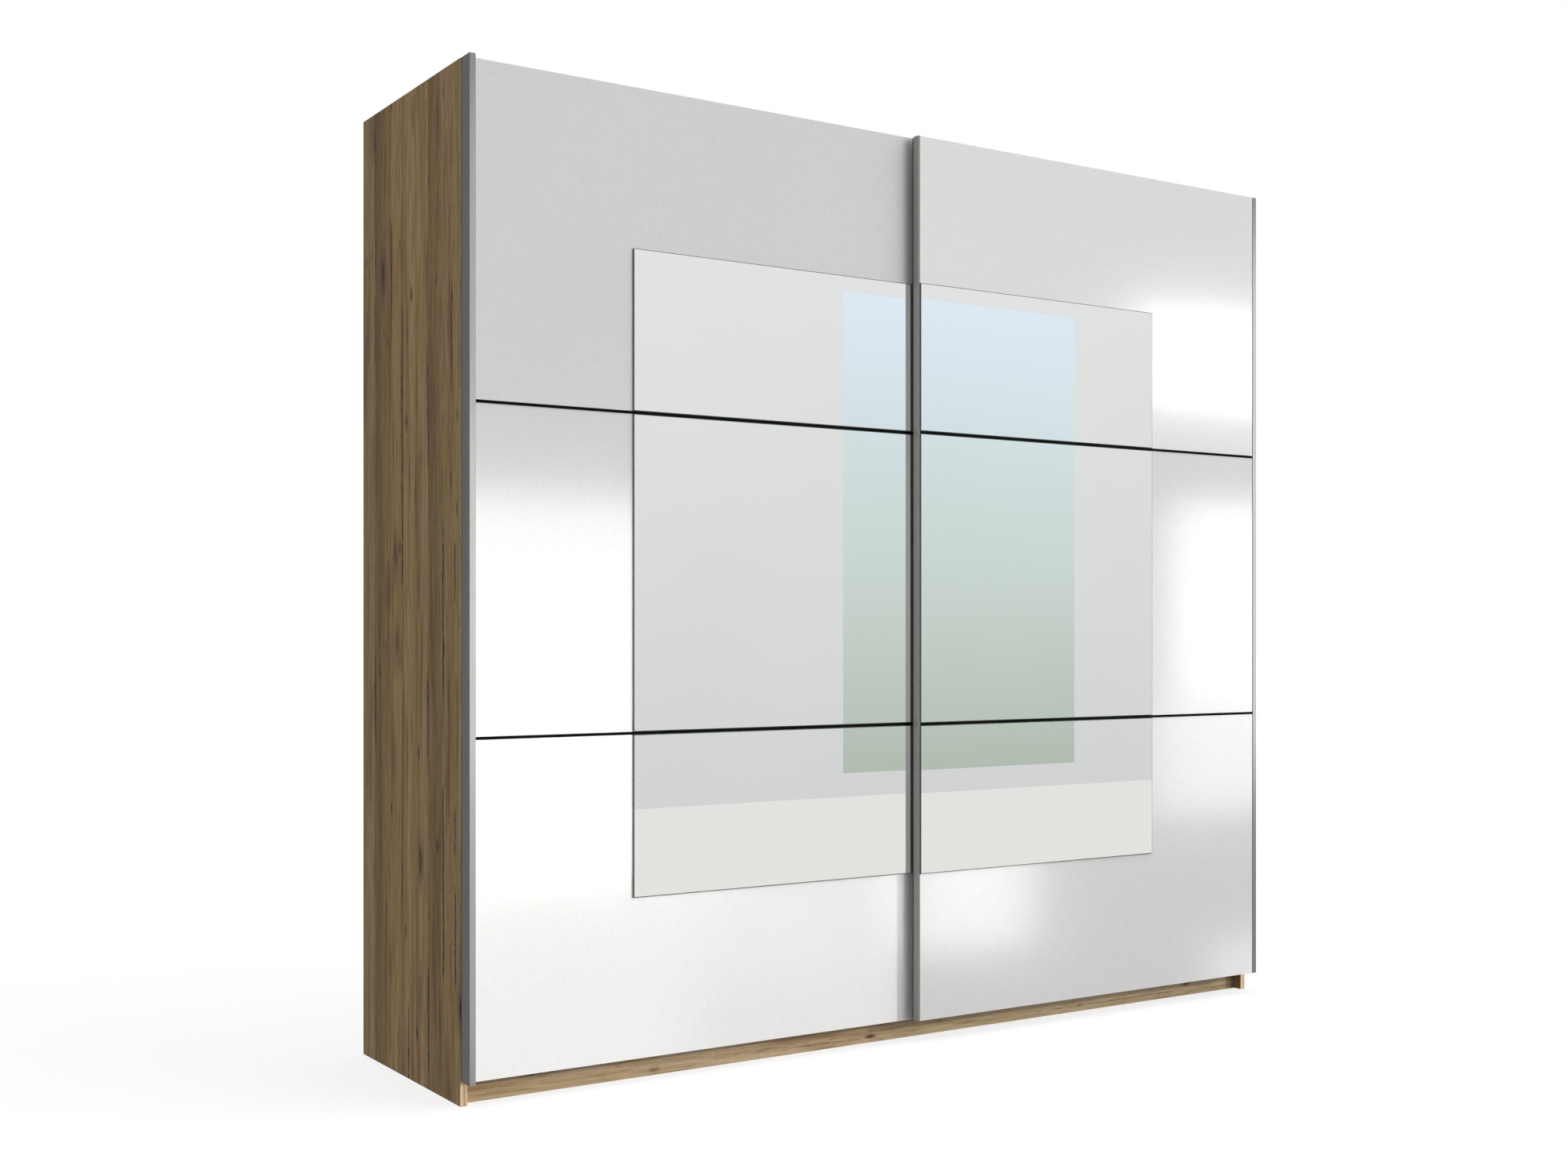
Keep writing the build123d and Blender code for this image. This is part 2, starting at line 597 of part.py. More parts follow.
def guide_section(board_back_y, is_outer):
    # Side outline of a bottom guide, as closed corners in Y and Z
    plate_back_y = board_back_y + guide_plate
    if is_outer:
        finger_front_y = lower_rib_y + rail_wall + guide_play
        finger_back_y = rail_web_y - guide_play
        arm_top_height = outer_guide_bottom + guide_arm
        return [
            (board_back_y, outer_guide_bottom),
            (finger_back_y, outer_guide_bottom),
            (finger_back_y, rail_deck - 2 * guide_play),
            (finger_front_y, rail_deck - 2 * guide_play),
            (finger_front_y, arm_top_height),
            (plate_back_y, arm_top_height),
            (plate_back_y, outer_guide_top),
            (board_back_y, outer_guide_top),
        ]
    finger_front_y = rail_front_y + rail_wall + guide_play
    finger_back_y = upper_rib_y - guide_play
    arm_low = rail_lip_top + 2 * guide_play
    arm_high = arm_low + 2 * guide_arm
    return [
        (board_back_y, arm_low),
        (finger_front_y, arm_low),
        (finger_front_y, deck_top + guide_play),
        (finger_back_y, deck_top + guide_play),
        (finger_back_y, arm_high),
        (plate_back_y, arm_high),
        (plate_back_y, inner_guide_top),
        (board_back_y, inner_guide_top),
    ]


hanger_screw_rise = (12, 24)
hanger_screw_spread = 22
guide_screw_spread = 12
bar_screw_heights = (150, 680, 870, 1390, 1570, 2100)
joint_heights = (lower_joint_height, upper_joint_height)
half_web = profile_web / 2
half_joint = joint_strip_height / 2

# Doors. The left door runs in the inner plane, the right door in the outer plane.
for side, sign, reach in (("left", -1, inner_door_reach), ("right", 1, outer_door_reach)):
    is_outer = side == "right"
    lip_front_y = front_edge_y - reach
    board_front_y = lip_front_y + profile_lip
    board_back_y = board_front_y + door_board
    lip_back_y = board_back_y + profile_lip
    outer_x = sign * door_outer_edge
    edge_x = outer_x - sign * door_width
    board_xs = (outer_x, edge_x + sign * profile_web)
    lip_xs = (edge_x, edge_x + sign * meeting_lip_width)
    bar_xs = (outer_x - sign * back_bar_inset, outer_x - sign * (back_bar_inset + back_bar_width))

    # Three boards, with room for the strip's web between them
    board_levels = (
        ("bottom", door_bottom, lower_joint_height - half_web),
        ("middle", lower_joint_height + half_web, upper_joint_height - half_web),
        ("top", upper_joint_height + half_web, side_height),
    )
    hanger_xs = (outer_x - sign * hanger_from_edge, edge_x + sign * hanger_from_edge)
    guide_xs = (outer_x - sign * guide_from_edge, edge_x + sign * guide_from_edge)
    hanger_screws = [
        (x + spread, board_back_y + hanger_plate, hanger_bottom + rise)
        for x in hanger_xs
        for spread in (-hanger_screw_spread, hanger_screw_spread)
        for rise in hanger_screw_rise
    ]
    guide_top = outer_guide_top if is_outer else inner_guide_top
    guide_screws = [
        (x + spread, board_back_y + guide_plate, guide_top - guide_screw_spread)
        for x in guide_xs
        for spread in (-guide_screw_spread, guide_screw_spread)
    ]
    bar_screws = [(sum(bar_xs) / 2, lip_back_y, height) for height in bar_screw_heights]
    door_screw_points = hanger_screws + guide_screws + bar_screws
    for level, level_bottom, level_top in board_levels:
        with BuildPart() as door_board_piece:
            with BuildSketch(Plane.XY.offset(level_bottom)):
                with Locations((sum(board_xs) / 2, (board_front_y + board_back_y) / 2)):
                    Rectangle(abs(board_xs[1] - board_xs[0]), door_board)
            extrude(amount=level_top - level_bottom)
            level_points = [p for p in door_screw_points if level_bottom < p[2] < level_top]
            hole_depth = screw_length + hole_play
            add_rods(level_points, (0, -1, 0), screw_radius + bolt_play, hole_depth, Mode.SUBTRACT)
        save(door_board_piece, side + "_door_" + level + "_board")

    # Joint strips: a web between two boards, a long front lip and a shorter rear lip
    with BuildPart() as joint_strips:
        for height in joint_heights:
            lip_zs = (height - half_joint, height + half_joint)
            add_box(board_xs, (board_front_y, board_back_y), (height - half_web, height + half_web))
            add_box((outer_x, lip_xs[1]), (lip_front_y, board_front_y), lip_zs)
            add_box((bar_xs[1], lip_xs[1]), (board_back_y, lip_back_y), lip_zs)
    save(joint_strips, side + "_door_joint_strips")

    # Channel over the edge where the doors meet
    with BuildPart() as meeting_profile:
        with BuildSketch(Plane.XY.offset(door_bottom)):
            with Locations((edge_x + sign * half_web, (lip_front_y + lip_back_y) / 2)):
                Rectangle(profile_web, lip_back_y - lip_front_y)
            lip_mid_x = edge_x + sign * meeting_lip_width / 2
            front_lip_y = (lip_front_y + board_front_y) / 2
            back_lip_y = (board_back_y + lip_back_y) / 2
            with Locations((lip_mid_x, front_lip_y), (lip_mid_x, back_lip_y)):
                Rectangle(meeting_lip_width, profile_lip)
        extrude(amount=side_height - door_bottom)
    save(meeting_profile, side + "_door_meeting_profile")

    # Flat bar that ties the three boards together near the outer edge
    with BuildPart() as back_bar:
        add_box(bar_xs, (board_back_y, lip_back_y), (door_bottom, side_height))
        add_rods(bar_screws, (0, -1, 0), screw_radius + bolt_play, profile_lip, Mode.SUBTRACT)
    save(back_bar, side + "_door_back_bar")

    # One mirror piece on each board
    mirror_xs = (outer_x - sign * mirror_margin, lip_xs[1] + sign * mirror_gap)
    lip_room = half_joint + mirror_gap
    mirror_levels = (
        ("bottom", mirror_bottom_height, lower_joint_height - lip_room),
        ("middle", lower_joint_height + lip_room, upper_joint_height - lip_room),
        ("top", upper_joint_height + lip_room, mirror_top_height),
    )
    for level, level_bottom, level_top in mirror_levels:
        with BuildPart() as mirror_piece:
            with BuildSketch(Plane.XY.offset(level_bottom)):
                with Locations((sum(mirror_xs) / 2, board_front_y - mirror_thickness / 2)):
                    Rectangle(abs(mirror_xs[1] - mirror_xs[0]), mirror_thickness)
            extrude(amount=level_top - level_bottom)
        save(mirror_piece, side + "_door_mirror_" + level)

    # Hangers: flat plates on the left door, arms over the left door on the right door
    rib_y = rear_rib_y if is_outer else front_rib_y
    axle_way = -1 if is_outer else 1
    wheel_face_y = rib_y - axle_way * wheel_width / 2
    axle_root_y = front_edge_y + rear_arm_back + hanger_plate if is_outer else board_back_y
    with BuildPart() as hangers:
        for x in hanger_xs:
            with BuildSketch(Plane.YZ.offset(x - hanger_width / 2)):
                Polygon(*hanger_section(board_back_y, is_outer), align=None)
            extrude(amount=hanger_width)
        add_rods(hanger_screws, (0, -1, 0), screw_radius + bolt_play, hanger_plate, Mode.SUBTRACT)
        axle_points = [(x, axle_root_y, axle_height) for x in hanger_xs]
        add_rods(axle_points, (0, axle_way, 0), axle_radius + axle_fit, hanger_plate, Mode.SUBTRACT)
    save(hangers, side + "_door_hangers")

    # Axles riveted in the hangers, with a shoulder and a head on each side of the wheel
    plate_face_y = axle_root_y + axle_way * hanger_plate
    shoulder_length = abs(wheel_face_y - plate_face_y) - axle_side_play
    head_face_y = wheel_face_y + axle_way * (wheel_width + axle_side_play)
    with BuildPart() as axles:
        axle_length = abs(head_face_y - axle_root_y)
        add_rods(axle_points, (0, axle_way, 0), axle_radius, axle_length)
        shoulder_points = [(x, plate_face_y, axle_height) for x in hanger_xs]
        add_rods(shoulder_points, (0, axle_way, 0), axle_head_radius, shoulder_length)
        head_points = [(x, head_face_y, axle_height) for x in hanger_xs]
        add_rods(head_points, (0, axle_way, 0), axle_head_radius, axle_head_length)
    save(axles, side + "_door_axles")

    # Grooved wheels, one at each hanger
    for place, x in zip(("outer", "meeting"), hanger_xs):
        with BuildPart() as wheel:
            wheel_start = [(x, rib_y - wheel_width / 2, axle_height)]
            groove_start = [(x, rib_y - groove_width / 2, axle_height)]
            add_rods(wheel_start, (0, 1, 0), wheel_radius, wheel_width)
            with BuildSketch(Plane(origin=groove_start[0], x_dir=(1, 0, 0), z_dir=(0, 1, 0))):
                Circle(wheel_radius + 1)
                Circle(groove_radius, mode=Mode.SUBTRACT)
            extrude(amount=groove_width, mode=Mode.SUBTRACT)
            add_rods(wheel_start, (0, 1, 0), axle_radius + axle_fit, wheel_width, Mode.SUBTRACT)
        save(wheel, side + "_door_" + place + "_wheel")

    # Bottom guides that run in the rail
    with BuildPart() as guides:
        for x in guide_xs:
            with BuildSketch(Plane.YZ.offset(x - guide_width / 2)):
                Polygon(*guide_section(board_back_y, is_outer), align=None)
            extrude(amount=guide_width)
        add_rods(guide_screws, (0, -1, 0), screw_radius + bolt_play, guide_plate, Mode.SUBTRACT)
    save(guides, side + "_door_guides")

    with BuildPart() as door_screws:
        add_screws(door_screw_points, (0, -1, 0))
    save(door_screws, side + "_door_screws")
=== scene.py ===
import math
import bmesh
import bpy
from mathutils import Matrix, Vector


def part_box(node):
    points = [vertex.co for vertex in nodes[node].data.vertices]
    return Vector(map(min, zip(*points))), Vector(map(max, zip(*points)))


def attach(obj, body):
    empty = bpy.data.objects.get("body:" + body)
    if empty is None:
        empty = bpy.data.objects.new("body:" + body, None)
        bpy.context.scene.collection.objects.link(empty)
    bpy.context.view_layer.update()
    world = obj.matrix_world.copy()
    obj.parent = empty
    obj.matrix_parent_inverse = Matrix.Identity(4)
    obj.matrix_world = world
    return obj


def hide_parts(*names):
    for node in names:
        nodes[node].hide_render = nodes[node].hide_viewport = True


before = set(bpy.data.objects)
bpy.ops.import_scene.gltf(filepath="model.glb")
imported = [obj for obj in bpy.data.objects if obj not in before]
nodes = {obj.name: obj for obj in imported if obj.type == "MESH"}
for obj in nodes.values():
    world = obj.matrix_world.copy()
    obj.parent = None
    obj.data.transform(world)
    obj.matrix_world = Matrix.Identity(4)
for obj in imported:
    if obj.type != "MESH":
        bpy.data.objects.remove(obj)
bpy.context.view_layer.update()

scene = bpy.context.scene
print("frame loaded:", len(nodes), "nodes")


# short ways to build shader trees

def newMaterial(name):
    material = bpy.data.materials.new(name)
    material.use_nodes = True
    tree = material.node_tree
    return material, tree, tree.nodes["Principled BSDF"]


def addNode(tree, kind, **settings):
    node = tree.nodes.new(kind)
    for key, value in settings.items():
        setattr(node, key, value)
    return node


def plug(tree, value, socket):
    # a socket takes either a link or a plain value
    if isinstance(value, bpy.types.NodeSocket):
        tree.links.new(value, socket)
    else:
        socket.default_value = value


def maths(tree, operation, first, second=0.0, third=0.0, clamp=False):
    node = addNode(tree, "ShaderNodeMath", operation=operation, use_clamp=clamp)
    for socket, value in zip(node.inputs, (first, second, third)):
        plug(tree, value, socket)
    return node.outputs[0]


def mixColours(tree, mode, factor, first, second):
    node = addNode(tree, "ShaderNodeMix", data_type="RGBA", blend_type=mode)
    plug(tree, factor, node.inputs[0])
    plug(tree, first, node.inputs[6])
    plug(tree, second, node.inputs[7])
    return node.outputs[2]


def grey(level):
    return (level, level, level, 1)


def rampOf(tree, factor, stops):
    node = addNode(tree, "ShaderNodeValToRGB")
    elements = node.color_ramp.elements
    while len(elements) < len(stops):
        elements.new(0.5)
    for element, (place, colour) in zip(elements, stops):
        element.position = place
        element.color = tuple(colour)[:3] + (1,)
    plug(tree, factor, node.inputs[0])
    return node.outputs[0]


def levels(tree, factor, *stops):
    return rampOf(tree, factor, [(place, grey(level)) for place, level in stops])


def woodTones(tree, factor, *stops):
    # like levels, but dark marks turn browner and light ones greyer
    return rampOf(tree, factor, [(place, (level, level ** 1.15, level ** 2)) for place, level in stops])


def splitVector(tree, vector):
    node = addNode(tree, "ShaderNodeSeparateXYZ")
    plug(tree, vector, node.inputs[0])
    return node.outputs


def joinVector(tree, first, second, third):
    node = addNode(tree, "ShaderNodeCombineXYZ")
    for socket, value in zip(node.inputs, (first, second, third)):
        plug(tree, value, socket)
    return node.outputs[0]


def stretched(tree, vector, scale, shift=(0, 0, 0)):
    node = addNode(tree, "ShaderNodeMapping")
    node.inputs["Scale"].default_value = scale
    node.inputs["Location"].default_value = shift
    plug(tree, vector, node.inputs["Vector"])
    return node.outputs[0]


def noiseOf(tree, vector, scale, detail=2.0, roughness=0.5, shift=(0, 0, 0)):
    # scale is one number, or three for a stretched pattern
    if not isinstance(scale, tuple):
        scale = (scale, scale, scale)
    node = addNode(tree, "ShaderNodeTexNoise")
    node.inputs["Scale"].default_value = 1.0
    node.inputs["Detail"].default_value = detail
    node.inputs["Roughness"].default_value = roughness
    plug(tree, stretched(tree, vector, scale, shift), node.inputs["Vector"])
    return node.outputs["Fac"]


def lineCells(tree, place, width, feature="F1"):
    node = addNode(tree, "ShaderNodeTexVoronoi", voronoi_dimensions="1D", feature=feature)
    node.inputs["Scale"].default_value = 1 / width
    plug(tree, place, node.inputs["W"])
    return node


def objectPlace(tree):
    return addNode(tree, "ShaderNodeTexCoord").outputs["Object"]


def bumpOf(tree, height, strength, distance):
    node = addNode(tree, "ShaderNodeBump")
    node.inputs["Strength"].default_value = strength
    node.inputs["Distance"].default_value = distance
    plug(tree, height, node.inputs["Height"])
    return node.outputs[0]


def giveMaterial(node, material):
    meshData = nodes[node].data
    meshData.materials.clear()
    meshData.materials.append(material)


# camera: to the left of the wardrobe, about one metre up, uprights kept upright

cameraLook = {
    "place": (-2.6917, -3.84775, 0.9934),
    "turn": 33.03,          # degrees to the right
    "lens": 41.96,
    "rise": 0.0288,
}
cameraData = bpy.data.cameras.new("viewCamera")
cameraData.lens = cameraLook["lens"]
cameraData.sensor_width = 36
cameraData.shift_y = cameraLook["rise"]
cameraData.clip_end = 200
camera = bpy.data.objects.new("viewCamera", cameraData)
camera.location = cameraLook["place"]
camera.rotation_euler = (math.radians(90), 0, -math.radians(cameraLook["turn"]))
scene.collection.objects.link(camera)
scene.camera = camera
print("camera placed")


# oak-look boards: planks side by side, long streaks, knots and drying cracks

oakLook = {
    "plankTones": ((0.0, (0.600, 0.375, 0.138)), (0.25, (0.790, 0.530, 0.232)), (0.5, (0.700, 0.495, 0.230)),
                   (0.75, (0.770, 0.485, 0.190)), (1.0, (0.870, 0.600, 0.282))),
    "edging": (0.90, 0.680, 0.425),
    "tapeDepth": 0.0005,
    # darker, cooler plinth colour: partly the print, partly painted shade from the doors overhanging the
    # plinth
    "plinthPrintAndShade": (0.69, 0.725, 0.91),
    "plankWidth": 0.115,
    "plankWaver": 0.016,
    "plankShade": ((0.0, 0.95), (0.2, 1.0), (0.66, 1.0), (0.97, 0.76)),    # over each plank's width
    # patterns: scale over, through and along the board, then tones from dark to light marks
    "bands": ((38, 38, 0.8), ((0.28, 0.70), (0.5, 1.0), (0.72, 1.14))),
    "streaks": ((130, 130, 6.5), ((0.30, 0.66), (0.50, 1.0), (0.72, 1.18))),
    "fibres": ((560, 560, 14), ((0.30, 0.80), (0.58, 1.0), (0.8, 1.08))),
    "pores": ((330, 330, 22), ((0.60, 0.0), (0.68, 0.6))),
    "poreTone": (0.42, 0.30, 0.20),
    "flames": ((6, 6, 0.5), ((0.0, 0.86), (0.45, 1.0), (1.0, 1.04))),
    "flameLines": 130.0,
    "smears": ((24, 24, 1.7), ((0.54, 0.0), (0.70, 0.95))),
    "smear": (0.46, 0.32, 0.19),
    "knot": (0.22, 0.13, 0.07),
    "knotBend": (0.16, 0.12),
    "knots": (               # pattern scale, place in the pattern, dark core, outer rim
        ((8.0, 8.0, 2.6), (5, 2, 1), 0.05, 0.22),
        ((17.0, 17.0, 5.5), (3, 7, 4), 0.045, 0.14),
    ),
    "crack": (0.012, 0.008, 0.004),
    "crackWidth": 0.0080,
    "crackSharpness": 110.0,
    "plinthCracks": 0.3,     # the plinth's cracks are this share of the width
    "roughness": 0.46,
    "sheen": 0.22,
    "relief": (0.3, 0.0005),
    "boards": {
        # node: grain axis, axis over the board's width, place in the pattern
        "left_side_panel": ("Z", "Y", (0.31, 0, 0.4)),
        "right_side_panel": ("Z", "Y", (4.1, 0, 2.2)),
        "centre_partition": ("Z", "Y", (7.7, 0, 5.1)),
        "plinth_board": ("X", "Z", (1.3, 0, 3.3)),
        "rear_plinth_rail": ("X", "Z", (2.9, 0, 9.3)),
        "top_panel": ("X", "Y", (5.2, 0, 6.0)),
        "bottom_panel": ("X", "Y", (6.3, 0, 1.8)),
        "hat_shelf": ("X", "Y", (8.4, 0, 4.6)),
        "right_fixed_shelf": ("X", "Y", (9.6, 0, 7.5)),
        "loose_shelf_1": ("X", "Y", (10.2, 0, 8.1)),
        "loose_shelf_2": ("X", "Y", (11.8, 0, 9.9)),
        "loose_shelf_3": ("X", "Y", (12.4, 0, 11.2)),
        "loose_shelf_4": ("X", "Y", (13.7, 0, 12.4)),
    },
}


def oakMaterial(name, along, across, shift, frontPlace):
    material, tree, shader = newMaterial(name)
    axes = splitVector(tree, objectPlace(tree))
    through = ({"X", "Y", "Z"} - {along, across}).pop()
    flat = joinVector(tree, axes[across], axes[through], axes[along])
    place = stretched(tree, flat, (1, 1, 1), shift)

    # planks, wavering a little so that nothing runs dead straight
    waver = noiseOf(tree, place, (2.5, 2.5, 1.1), 3)
    acrossPlace = maths(tree, "MULTIPLY_ADD", waver, oakLook["plankWaver"], splitVector(tree, place)[0])
    planks = lineCells(tree, acrossPlace, oakLook["plankWidth"])
    chance = addNode(tree, "ShaderNodeSeparateColor")
    plug(tree, planks.outputs["Color"], chance.inputs[0])
    colour = rampOf(tree, chance.outputs[0], oakLook["plankTones"])
    fromMiddle = maths(tree, "MULTIPLY", maths(tree, "SUBTRACT", acrossPlace, planks.outputs["W"]),
                       1 / oakLook["plankWidth"])
    shaded = levels(tree, maths(tree, "ADD", fromMiddle, 0.5), *oakLook["plankShade"])
    colour = mixColours(tree, "MULTIPLY", 1.0, colour, shaded)
    taped = 0.0
    if across == "Y":      # edging tape on the front edge
        taped = maths(tree, "LESS_THAN", maths(tree, "SUBTRACT", axes["Y"], frontPlace), oakLook["tapeDepth"])
        colour = mixColours(tree, "MIX", taped, colour, oakLook["edging"] + (1,))
    own = joinVector(tree, maths(tree, "MULTIPLY", chance.outputs[1], 3.0), 0.0,
                     maths(tree, "MULTIPLY", chance.outputs[2], 7.0))
    moved = addNode(tree, "ShaderNodeVectorMath", operation="ADD")
    plug(tree, place, moved.inputs[0])
    plug(tree, own, moved.inputs[1])
    grain = moved.outputs[0]

    # growth bands, streaks, fine fibres and pores along each plank
    scale, tones = oakLook["bands"]
    bands = noiseOf(tree, grain, scale, 4, 0.6)
    colour = mixColours(tree, "MULTIPLY", 1.0, colour, woodTones(tree, bands, *tones))
    scale, tones = oakLook["streaks"]
    streaks = noiseOf(tree, grain, scale, 5, 0.72)
    colour = mixColours(tree, "MULTIPLY", 1.0, colour, woodTones(tree, streaks, *tones))
    scale, tones = oakLook["fibres"]
    fibres = noiseOf(tree, grain, scale, 3, 0.7)
    colour = mixColours(tree, "MULTIPLY", 1.0, colour, levels(tree, fibres, *tones))
    scale, tones = oakLook["pores"]
    poreMask = levels(tree, noiseOf(tree, grain, scale, 2, 0.6, (4, 0, 2)), *tones)
    colour = mixColours(tree, "MULTIPLY", poreMask, colour, oakLook["poreTone"] + (1,))

    # flame figure: bent lines that widen and close again, on some planks only
    scale, tones = oakLook["flames"]
    bend = maths(tree, "MULTIPLY", noiseOf(tree, grain, scale, 1.5), oakLook["flameLines"])
    figure = maths(tree, "MULTIPLY_ADD", maths(tree, "SINE", bend), 0.5, 0.5)
    figureGate = levels(tree, chance.outputs[1], (0.45, 0.0), (0.55, 0.8))
    colour = mixColours(tree, "MULTIPLY", figureGate, colour, levels(tree, figure, *tones))

    # long brown smears and small upright knots
    scale, tones = oakLook["smears"]
    smearMask = levels(tree, noiseOf(tree, grain, scale, 3, 0.6, (3, 1, 7)), *tones)
    colour = mixColours(tree, "MULTIPLY", smearMask, colour, oakLook["smear"] + (1,))
    ragged = noiseOf(tree, place, (60, 60, 18), 3)
    bendOver, bendAlong = [maths(tree, "MULTIPLY", ragged, amount) for amount in oakLook["knotBend"]]
    for scale, spot, core, rim in oakLook["knots"]:
        knots = addNode(tree, "ShaderNodeTexVoronoi", voronoi_dimensions="3D")
        knots.inputs["Scale"].default_value = 1.0
        knotPlace = addNode(tree, "ShaderNodeVectorMath", operation="ADD")
        plug(tree, stretched(tree, grain, scale, spot), knotPlace.inputs[0])
        plug(tree, joinVector(tree, bendOver, 0.0, bendAlong), knotPlace.inputs[1])
        plug(tree, knotPlace.outputs[0], knots.inputs["Vector"])
        knotMask = levels(tree, knots.outputs["Distance"], (core, 0.95), (1.8 * core, 0.5), (rim, 0.0))
        colour = mixColours(tree, "MULTIPLY", knotMask, colour, oakLook["knot"] + (1,))

    # drying cracks, mostly where two planks meet, tapering out at their ends
    wander = noiseOf(tree, place, (30, 30, 12), 4, 0.7)
    wandering = maths(tree, "MULTIPLY_ADD", wander, 0.006, acrossPlace)
    edge = lineCells(tree, wandering, oakLook["plankWidth"], "DISTANCE_TO_EDGE").outputs["Distance"]
    otherWander = noiseOf(tree, place, (30, 30, 12), 4, 0.7, (2, 6, 4))
    drift = maths(tree, "MULTIPLY_ADD", otherWander, 0.07, -0.155)
    middle = maths(tree, "ABSOLUTE", maths(tree, "ADD", fromMiddle, drift))
    halfWidth = 0.5 * oakLook["crackWidth"] / oakLook["plankWidth"]
    if across == "Z":
        halfWidth *= oakLook["plinthCracks"]
    torn = levels(tree, noiseOf(tree, place, (200, 200, 60), 3, 0.7), (0.36, 0.40), (0.62, 1.25))
    masks = []
    for line, low, high, spot in ((edge, 0.525, 0.565, (9, 4, 2)), (middle, 0.575, 0.61, (1, 8, 5))):
        length = noiseOf(tree, place, (9, 9, 2.1), 2, 0.5, spot)
        opened = maths(tree, "MULTIPLY", levels(tree, length, (low, 0.0), (high, halfWidth)), torn)
        gap = maths(tree, "SUBTRACT", opened, line)
        masks.append(maths(tree, "MULTIPLY", gap, oakLook["crackSharpness"], clamp=True))
    crackMask = maths(tree, "SUBTRACT", maths(tree, "MAXIMUM", masks[0], masks[1]), taped, clamp=True)
    colour = mixColours(tree, "MIX", crackMask, colour, oakLook["crack"] + (1,))
    # the wood is a little darker beside the longer cracks
    halo = levels(tree, edge, (0.0, 0.45), (0.07, 0.0))
    haloGate = levels(tree, noiseOf(tree, place, (9, 9, 2.1), 2, 0.5, (9, 4, 2)), (0.47, 0.0), (0.58, 1.0))
    halo = maths(tree, "MULTIPLY", halo, haloGate)
    colour = mixColours(tree, "MULTIPLY", halo, colour, oakLook["smear"] + (1,))

    if across == "Z":      # the plinth is darker and cooler: partly its print, partly painted shade from the doors overhanging it
        colour = mixColours(tree, "MULTIPLY", 1.0, colour, oakLook["plinthPrintAndShade"] + (1,))
    plug(tree, colour, shader.inputs["Base Color"])
    rough = oakLook["roughness"]
    plug(tree, levels(tree, streaks, (0.3, rough + 0.1), (0.7, rough - 0.04)), shader.inputs["Roughness"])
    height = maths(tree, "SUBTRACT", fibres, maths(tree, "ADD", crackMask, poreMask))
    plug(tree, bumpOf(tree, height, *oakLook["relief"]), shader.inputs["Normal"])
    shader.inputs["Specular IOR Level"].default_value = oakLook["sheen"]
    return material


for node, (along, across, shift) in oakLook["boards"].items():
    giveMaterial(node, oakMaterial("oak_" + node, along, across, shift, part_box(node)[0][1]))
print("oak boards finished:", len(oakLook["boards"]))


# white door boards with a pressed linen texture

whiteLook = {
    "colour": (0.865, 0.858, 0.842),
    "shade": 0.985,
    "roughness": 0.22,
    "thread": 420,           # threads a metre, roughly
    "relief": (0.10, 0.0002),
}


def whiteMaterial():
    material, tree, shader = newMaterial("white_melamine")
    place = objectPlace(tree)
    thread = whiteLook["thread"]
    upright = noiseOf(tree, place, (thread, thread, thread / 9), 2)
    level = noiseOf(tree, place, (thread / 9, thread / 9, thread), 2, shift=(3, 5, 7))
    weave = maths(tree, "ADD", upright, level)
    halfWeave = maths(tree, "MULTIPLY", weave, 0.5)
    cloudy = noiseOf(tree, place, 2.5, 3)
    base = whiteLook["colour"]
    darker = tuple(whiteLook["shade"] * part for part in base)
    colour = rampOf(tree, cloudy, ((0.3, darker), (0.7, base)))
    colour = mixColours(tree, "MULTIPLY", 1.0, colour, levels(tree, halfWeave, (0.36, 0.965), (0.64, 1.01)))
    plug(tree, colour, shader.inputs["Base Color"])
    rough = whiteLook["roughness"]
    plug(tree, levels(tree, halfWeave, (0.35, rough), (0.65, rough + 0.05)), shader.inputs["Roughness"])
    plug(tree, bumpOf(tree, weave, *whiteLook["relief"]), shader.inputs["Normal"])
    return material


whiteMelamine = whiteMaterial()
for side in ("left", "right"):
    for level in ("bottom", "middle", "top"):
        giveMaterial(side + "_door_" + level + "_board", whiteMelamine)
print("white boards finished")


# metals, plastics, hardboard and dowels

def drawnMaterial(name, look):
    # a finish with marks drawn out along one axis
    material, tree, shader = newMaterial(name)
    drawn = noiseOf(tree, objectPlace(tree), look["marks"], 4, 0.6)
    low = [part * (1 - look["wear"]) for part in look["colour"]]
    high = [min(1, part * (1 + look["wear"])) for part in look["colour"]]
    plug(tree, rampOf(tree, drawn, ((0.3, low), (0.7, high))), shader.inputs["Base Color"])
    rough = look["roughness"]
    plug(tree, levels(tree, drawn, (0.3, 0.9 * rough), (0.7, 1.15 * rough)), shader.inputs["Roughness"])
    plug(tree, bumpOf(tree, drawn, look["relief"], 0.0001), shader.inputs["Normal"])
    shader.inputs["Metallic"].default_value = look["metal"]
    shader.inputs["Specular IOR Level"].default_value = look.get("sheen", 0.5)
    return material


